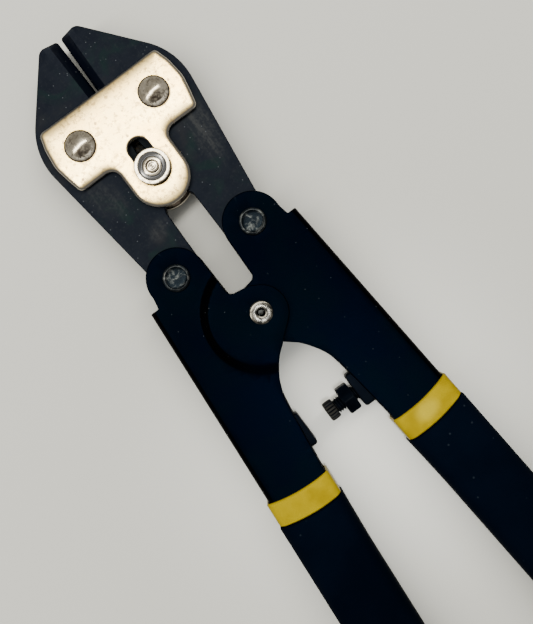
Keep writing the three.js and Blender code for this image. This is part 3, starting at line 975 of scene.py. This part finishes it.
def adjusting_screw():
    turns = 54
    angles = full_turn(turns)
    ribs = 18
    rib = np.abs(np.sin(angles * ribs / 2)) ** 0.7
    head_height = 2.6
    thread_end, thread_pitch, thread_root, thread_depth = 14.4, 0.7, 1.62, 0.33
    sections = [(0, 0.01), (0, 0.9), (0, 2.0 + 0.1 * rib)]
    for z in (0.12, 0.3, 0.9, 1.7, 2.3, 2.48):
        ease = 1 - 0.09 * abs(z / (head_height / 2) - 1) ** 4
        sections.append((z, (2.32 + 0.29 * rib) * ease))
    sections.append((head_height, 2.1 + 0.1 * rib))
    for z in np.arange(head_height, thread_end, thread_pitch / 10):
        phase = (z / thread_pitch - angles / (2 * math.pi)) % 1
        ridge = thread_root + thread_depth * np.clip(1.35 - np.abs(phase - 0.5) * 3.6, 0, 1)
        lead_in = min(1, 0.82 + (z - head_height) * 0.6)
        sections.append((z, ridge * lead_in))
    sections += [(14.7, 1.6), (14.9, 1.3), (14.9, 0.01)]
    rings = [level_ring(z, radius, angles) for z, radius in sections]
    return along_x(np.vstack(rings), -1.8), capped_tube(len(rings), turns)


def lock_nut():
    around = 96
    angles = full_turn(around)
    half_flats, height, chamfer_height = 3.5, 3.2, 0.5
    flats = half_flats / np.cos((angles % (math.pi / 3)) - math.pi / 6)
    steps = np.linspace(0, chamfer_height, 7)
    chamfer = [(z, 3.3 + 0.8 * math.sqrt(z / chamfer_height)) for z in steps]
    sections = [(0.3, 2.3), (0, 2.6)] + chamfer
    sections += [(height - z, radius) for z, radius in reversed(sections)]
    rings = [level_ring(z, np.minimum(radius, flats), angles) for z, radius in sections]
    return along_x(np.vstack(rings), 2.9), tube_faces(len(rings), around, closed=True)


bumper_points, bumper_faces = block(7.7)
add_piece("left_bumper_block", (turned_over(bumper_points), bumper_faces), "left_handle", "black_oxide")
add_piece("right_screw_block", block(6.9, 2.08), "right_handle", "black_oxide")
add_piece("adjusting_screw", adjusting_screw(), "screw", "black_oxide")
add_piece("lock_nut", lock_nut(), "nut", "black_oxide")


# Bands and grips: sleeves over the channel.


def rounded_rectangle(half_width, half_height, radius):
    corners = [(half_width, half_height), (-half_width, half_height)]
    corners += [(-half_width, -half_height), (half_width, -half_height)]
    quarter = np.linspace(0, math.pi / 2, 9)
    points = []
    for i, (x, y) in enumerate(corners):
        centre = (x - math.copysign(radius, x), y - math.copysign(radius, y))
        for angle in quarter + i * math.pi / 2:
            points.append((centre[0] + radius * math.cos(angle), centre[1] + radius * math.sin(angle)))
    return spaced_sides(np.array(points), len(quarter))


def spaced_sides(points, per_corner, parts=7):
    """Adds the same number of points to each straight side, so that sections can be joined."""
    runs = []
    for i in range(0, len(points), per_corner):
        corner = points[i : i + per_corner]
        following = points[(i + per_corner) % len(points)]
        share = np.arange(1, parts)[:, None] / parts
        runs += [corner, corner[-1] + (following - corner[-1]) * share]
    return np.vstack(runs)


def sleeve_ring(half_width, half_height, radius, along, inner_drop=0.0):
    """One section of a sleeve, a little askew and bowed to the rear at the end nearest the head."""
    skew, bow, shift = 0.035, 0.8, 0.65
    fade_end, fade_length = BAND_START + 22, 12
    section = rounded_rectangle(half_width, half_height, radius)
    inward = HANDLE_WIDTH / 2 - section[:, 0] - inner_drop * (section[:, 0] < 0)
    across = section[:, 0] / half_width
    end_shape = skew * section[:, 0] + bow * across**2 - shift
    x, y = on_handle(inward, along - end_shape * np.clip((fade_end - along) / fade_length, 0, 1))
    return np.column_stack([x, y, section[:, 1]])


def sheet_hole(along):
    return sleeve_ring(HANDLE_WIDTH / 2 + FIT, FLANGE_OUT + FIT, 0.6, along)


def band():
    start, end = BAND_START, BAND_START + BAND_LENGTH
    half = BAND_WIDTH / 2
    edge, corner = 0.35, 2.0
    rings = []
    for share in np.linspace(0, 1, 25):
        along = start + share * BAND_LENGTH
        rim = min(along - start, end - along)
        drop = edge - math.sqrt(max(edge**2 - max(edge - rim, 0) ** 2, 0))
        rings.append(sleeve_ring(half - drop, BAND_HALF_HEIGHT - drop, corner - drop, along))
    rings = [sheet_hole(start)] + rings + [sheet_hole(end)]
    return np.vstack(rings), tube_faces(len(rings), len(rings[0]), closed=True)


def grip():
    start = BAND_START + BAND_LENGTH + FIT
    end = start + GRIP_LENGTH
    half = GRIP_WIDTH / 2
    rings = [sheet_hole(HANDLE_LENGTH + 1), sheet_hole(start)]
    lip, butt = 0.5, 2.2
    over_lip = start + lip * (1 - np.cos(np.linspace(0, math.pi / 2, 6)))
    straight = np.linspace(start + 2, end - butt - 2, 60)
    over_butt = end - butt + butt * np.sin(np.linspace(0, math.pi / 2, 10))
    for along in np.concatenate([over_lip, straight, over_butt]):
        rim = max(lip - (along - start), 0)
        back = max(butt - (end - along), 0)
        drop = lip - math.sqrt(max(lip**2 - rim**2, 0)) + butt - math.sqrt(max(butt**2 - back**2, 0))
        neck = 0.4 * np.clip((along - start - 1) / 14, 0, 1) ** 0.7
        rings.append(sleeve_ring(half - drop, REST_HEIGHT - drop, 3.4 - 0.5 * drop, along, neck))
    return np.vstack(rings), capped_tube(len(rings), len(rings[0]))


add_pair("band", band(), "{}_handle", "band_plastic")
add_pair("grip", grip(), "{}_handle", "grip_rubber")


# Floor, lights and camera. Their places and sizes are in metres.

CAMERA_DISTANCE = 0.215  # above the front link plate
FACE_HEIGHT = (REST_HEIGHT + LINK_Z + LINK_THICKNESS) * MM
FRAME_HEIGHT = 0.1498  # what the long side of the picture spans at the link plate
AIM = Vector((1.08 * MM, (ORIGIN_Y - 58.7) * MM, FACE_HEIGHT))
ACROSS = Vector((0.8018, -0.5976, 0)).normalized()
UPWARDS = Vector((0.5976, 0.8018, 0)).normalized()


def floor():
    work = bmesh.new()
    bmesh.ops.create_grid(work, x_segments=8, y_segments=8, size=3)
    mesh = bpy.data.meshes.new("floor")
    work.to_mesh(mesh)
    work.free()
    s = Surface("floor_paper", 0.9, specular=0.1)
    mesh.materials.append(s.finish((0.46, 0.465, 0.435, 1)))
    plane = bpy.data.objects.new("floor", mesh)
    plane.location.z = -0.02 * MM
    bpy.context.scene.collection.objects.link(plane)


def softbox(name, place, target, size, power, turn):
    light = bpy.data.lights.new(name, "AREA")
    light.shape = "RECTANGLE"
    light.size, light.size_y = size
    light.energy = power
    light.color = (1.0, 0.96, 0.88)
    lamp = bpy.data.objects.new(name, light)
    bpy.context.scene.collection.objects.link(lamp)
    lamp.location = place
    aim = (Vector(target) - Vector(place)).to_track_quat("-Z", "Y")
    lamp.rotation_euler = (aim @ Quaternion((0, 0, 1), turn)).to_euler()


def glow():
    """A faint pool of light on the paper between the handles."""
    light = bpy.data.lights.new("glow", "SPOT")
    light.energy = 13
    light.spot_size = math.radians(10.5)
    light.spot_blend = 1
    light.shadow_soft_size = 0.03
    lamp = bpy.data.objects.new("glow", light)
    bpy.context.scene.collection.objects.link(lamp)
    lamp.location = (0.002, (ORIGIN_Y - 99) * MM, 0.5)


def camera():
    lens = bpy.data.cameras.new("camera")
    lens.sensor_width = 36
    lens.lens = lens.sensor_width * CAMERA_DISTANCE / FRAME_HEIGHT
    lens.clip_start = 0.01
    eye = bpy.data.objects.new("camera", lens)
    bpy.context.scene.collection.objects.link(eye)
    backwards = ACROSS.cross(UPWARDS)
    turn = Matrix((ACROSS, UPWARDS, backwards)).transposed()
    eye.matrix_world = Matrix.Translation(AIM + backwards * CAMERA_DISTANCE) @ turn.to_4x4()
    bpy.context.scene.camera = eye


def world():
    sky = bpy.data.worlds.new("studio")
    sky.use_nodes = True
    background = sky.node_tree.nodes["Background"]
    background.inputs["Color"].default_value = (1.0, 0.99, 0.97, 1)
    background.inputs["Strength"].default_value = 0.7
    bpy.context.scene.world = sky


floor()
world()
softbox("key", place=(-0.1, 0.2, 0.66), target=(-0.1, 0.16, 0), size=(1.5, 0.13), power=14, turn=0.14)
glow()
camera()
